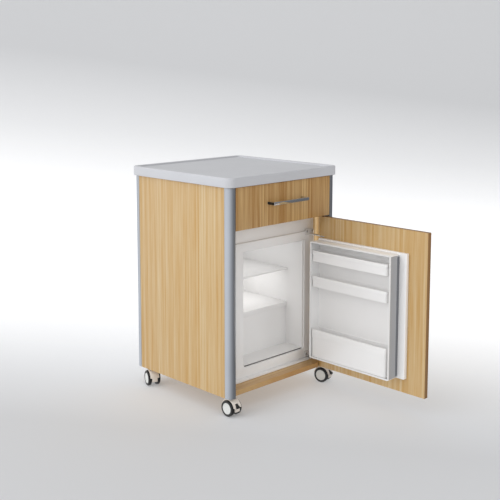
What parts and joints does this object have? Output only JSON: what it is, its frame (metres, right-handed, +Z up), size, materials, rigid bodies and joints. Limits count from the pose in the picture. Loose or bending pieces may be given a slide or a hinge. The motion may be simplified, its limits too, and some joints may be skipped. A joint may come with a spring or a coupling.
{
  "type": "bedside cabinet",
  "caption": "Bedside cabinet with a tray worktop, a drawer on runners, a built-in refrigerator behind a hinged door, and braked twin-wheel casters.",
  "frame": {"origin": "floor level, under the middle of the box that holds the cabinet with its door open at right angles", "axes": "+Z up, +Y towards the back of the cabinet, +X towards its hinge side"},
  "size_m": [0.4964, 0.874, 0.74],
  "materials": {
    "tray_plastic": "fine matt grain",
    "board": "raw board",
    "bamboo": "satin lacquered bamboo",
    "post_aluminium": "satin anodised",
    "white_plastic": "semi-gloss white",
    "white_steel": "white enamel",
    "foam": "rigid insulating foam",
    "aluminium_plate": "mill finish",
    "dark_steel": "black paint",
    "grey_plastic": "matt",
    "bracket_steel": "zinc plated",
    "gasket_rubber": "soft light grey",
    "handle_chrome": "bright",
    "hood_plastic": "matt cream",
    "wheel_tyre": "rubber tread on a white hub",
    "brake_plastic": "matt black"
  },
  "bodies": {
    "cabinet": {"worktop_tray": "tray_plastic", "worktop_core": "board", "front_left_post": "post_aluminium", "front_right_post": "post_aluminium", "rear_left_post": "post_aluminium", "rear_right_post": "post_aluminium", "left_side_panel": "bamboo", "right_side_panel": "bamboo", "back_panel": "white_plastic", "bottom_board": "bamboo", "divider_board": "board", "board_dowels": "board", "fridge_surround": "white_plastic", "fridge_base_plate": "white_plastic", "power_inlet": "grey_plastic", "fridge_case": "white_steel", "fridge_foam": "foam", "fridge_liner": "white_plastic", "fridge_face_frame": "white_plastic", "fridge_shelf": "white_plastic", "step_cover": "white_plastic", "evaporator_plate": "aluminium_plate", "condenser": "dark_steel", "compressor": "dark_steel", "thermostat": "white_plastic", "upper_hinge_bracket": "bracket_steel", "lower_hinge_bracket": "bracket_steel", "bracket_screws": "bracket_steel", "runner_outers": "bracket_steel", "runner_packers": "board", "caster_stems": "bracket_steel"},
    "door": {"door_panel": "bamboo", "door_pan": "white_plastic", "door_liner": "white_plastic", "door_gasket": "gasket_rubber", "upper_balcony": "white_plastic", "middle_balcony": "white_plastic", "bottle_bin": "white_plastic", "hinge_pins": "bracket_steel", "door_handle": "handle_chrome"},
    "drawer": {"drawer_front": "bamboo", "drawer_tub": "white_plastic", "drawer_handle": "handle_chrome", "runner_inners": "bracket_steel"},
    "runner_middle": {"runner_middles": "bracket_steel"},
    "thermostat_dial": {"thermostat_knob": "grey_plastic"},
    "front_left_swivel": {"front_left_hood": "hood_plastic"},
    "front_left_roll_a": {"front_left_wheel_a": "wheel_tyre"},
    "front_left_roll_b": {"front_left_wheel_b": "wheel_tyre"},
    "front_right_swivel": {"front_right_hood": "hood_plastic"},
    "front_right_roll_a": {"front_right_wheel_a": "wheel_tyre"},
    "front_right_roll_b": {"front_right_wheel_b": "wheel_tyre"},
    "rear_left_swivel": {"rear_left_hood": "hood_plastic"},
    "rear_left_roll_a": {"rear_left_wheel_a": "wheel_tyre"},
    "rear_left_roll_b": {"rear_left_wheel_b": "wheel_tyre"},
    "rear_right_swivel": {"rear_right_hood": "hood_plastic"},
    "rear_right_roll_a": {"rear_right_wheel_a": "wheel_tyre"},
    "rear_right_roll_b": {"rear_right_wheel_b": "wheel_tyre"},
    "front_left_pedal": {"front_left_brake": "brake_plastic"},
    "front_right_pedal": {"front_right_brake": "brake_plastic"}
  },
  "joints": [
    {"name": "door_hinge", "type": "hinge", "parent": "cabinet", "child": "door", "pos_m": [0.2, -0.023, 0.315], "axis": [0, 0, 1], "range_deg": [-90, 0]},
    {"name": "drawer_slide", "type": "slide", "parent": "cabinet", "child": "drawer", "axis": [0, -1, 0], "range_m": [0, 0.3]},
    {"name": "runner_slide", "type": "slide", "parent": "cabinet", "child": "runner_middle", "axis": [0, -1, 0], "range_m": [0, 0.15]},
    {"name": "thermostat_turn", "type": "hinge", "parent": "cabinet", "child": "thermostat_dial", "pos_m": [-0.109, 0.101, 0.445], "axis": [1, 0, 0], "range_deg": [0, 270]},
    {"name": "front_left_swivel", "type": "hinge", "parent": "cabinet", "child": "front_left_swivel", "pos_m": [-0.214, 0.009, 0.045], "axis": [0, 0, 1], "continuous": true},
    {"name": "front_left_roll_a", "type": "hinge", "parent": "front_left_swivel", "child": "front_left_roll_a", "pos_m": [-0.214, -0.009, 0.025], "axis": [1, 0, 0], "continuous": true},
    {"name": "front_left_roll_b", "type": "hinge", "parent": "front_left_swivel", "child": "front_left_roll_b", "pos_m": [-0.214, -0.009, 0.025], "axis": [1, 0, 0], "continuous": true},
    {"name": "front_left_pedal", "type": "hinge", "parent": "front_left_swivel", "child": "front_left_pedal", "pos_m": [-0.214, -0.026, 0.038], "axis": [1, 0, 0], "range_deg": [0, 12]},
    {"name": "front_right_swivel", "type": "hinge", "parent": "cabinet", "child": "front_right_swivel", "pos_m": [0.214, 0.009, 0.045], "axis": [0, 0, 1], "continuous": true},
    {"name": "front_right_roll_a", "type": "hinge", "parent": "front_right_swivel", "child": "front_right_roll_a", "pos_m": [0.21805, -0.00854, 0.025], "axis": [0.9744, 0.225, 0], "continuous": true},
    {"name": "front_right_roll_b", "type": "hinge", "parent": "front_right_swivel", "child": "front_right_roll_b", "pos_m": [0.21805, -0.00854, 0.025], "axis": [0.9744, 0.225, 0], "continuous": true},
    {"name": "front_right_pedal", "type": "hinge", "parent": "front_right_swivel", "child": "front_right_pedal", "pos_m": [0.22187, -0.0251, 0.038], "axis": [0.9744, 0.225, 0], "range_deg": [0, 12]},
    {"name": "rear_left_swivel", "type": "hinge", "parent": "cabinet", "child": "rear_left_swivel", "pos_m": [-0.214, 0.389, 0.045], "axis": [0, 0, 1], "continuous": true},
    {"name": "rear_left_roll_a", "type": "hinge", "parent": "rear_left_swivel", "child": "rear_left_roll_a", "pos_m": [-0.22016, 0.37209, 0.025], "axis": [0.9397, -0.342, 0], "continuous": true},
    {"name": "rear_left_roll_b", "type": "hinge", "parent": "rear_left_swivel", "child": "rear_left_roll_b", "pos_m": [-0.22016, 0.37209, 0.025], "axis": [0.9397, -0.342, 0], "continuous": true},
    {"name": "rear_right_swivel", "type": "hinge", "parent": "cabinet", "child": "rear_right_swivel", "pos_m": [0.214, 0.389, 0.045], "axis": [0, 0, 1], "continuous": true},
    {"name": "rear_right_roll_a", "type": "hinge", "parent": "rear_right_swivel", "child": "rear_right_roll_a", "pos_m": [0.20934, 0.37161, 0.025], "axis": [0.9659, -0.2588, 0], "continuous": true},
    {"name": "rear_right_roll_b", "type": "hinge", "parent": "rear_right_swivel", "child": "rear_right_roll_b", "pos_m": [0.20934, 0.37161, 0.025], "axis": [0.9659, -0.2588, 0], "continuous": true}
  ],
  "couplings": [
    {"joint": "runner_slide", "follows": "drawer_slide", "ratio": 0.5}
  ]
}
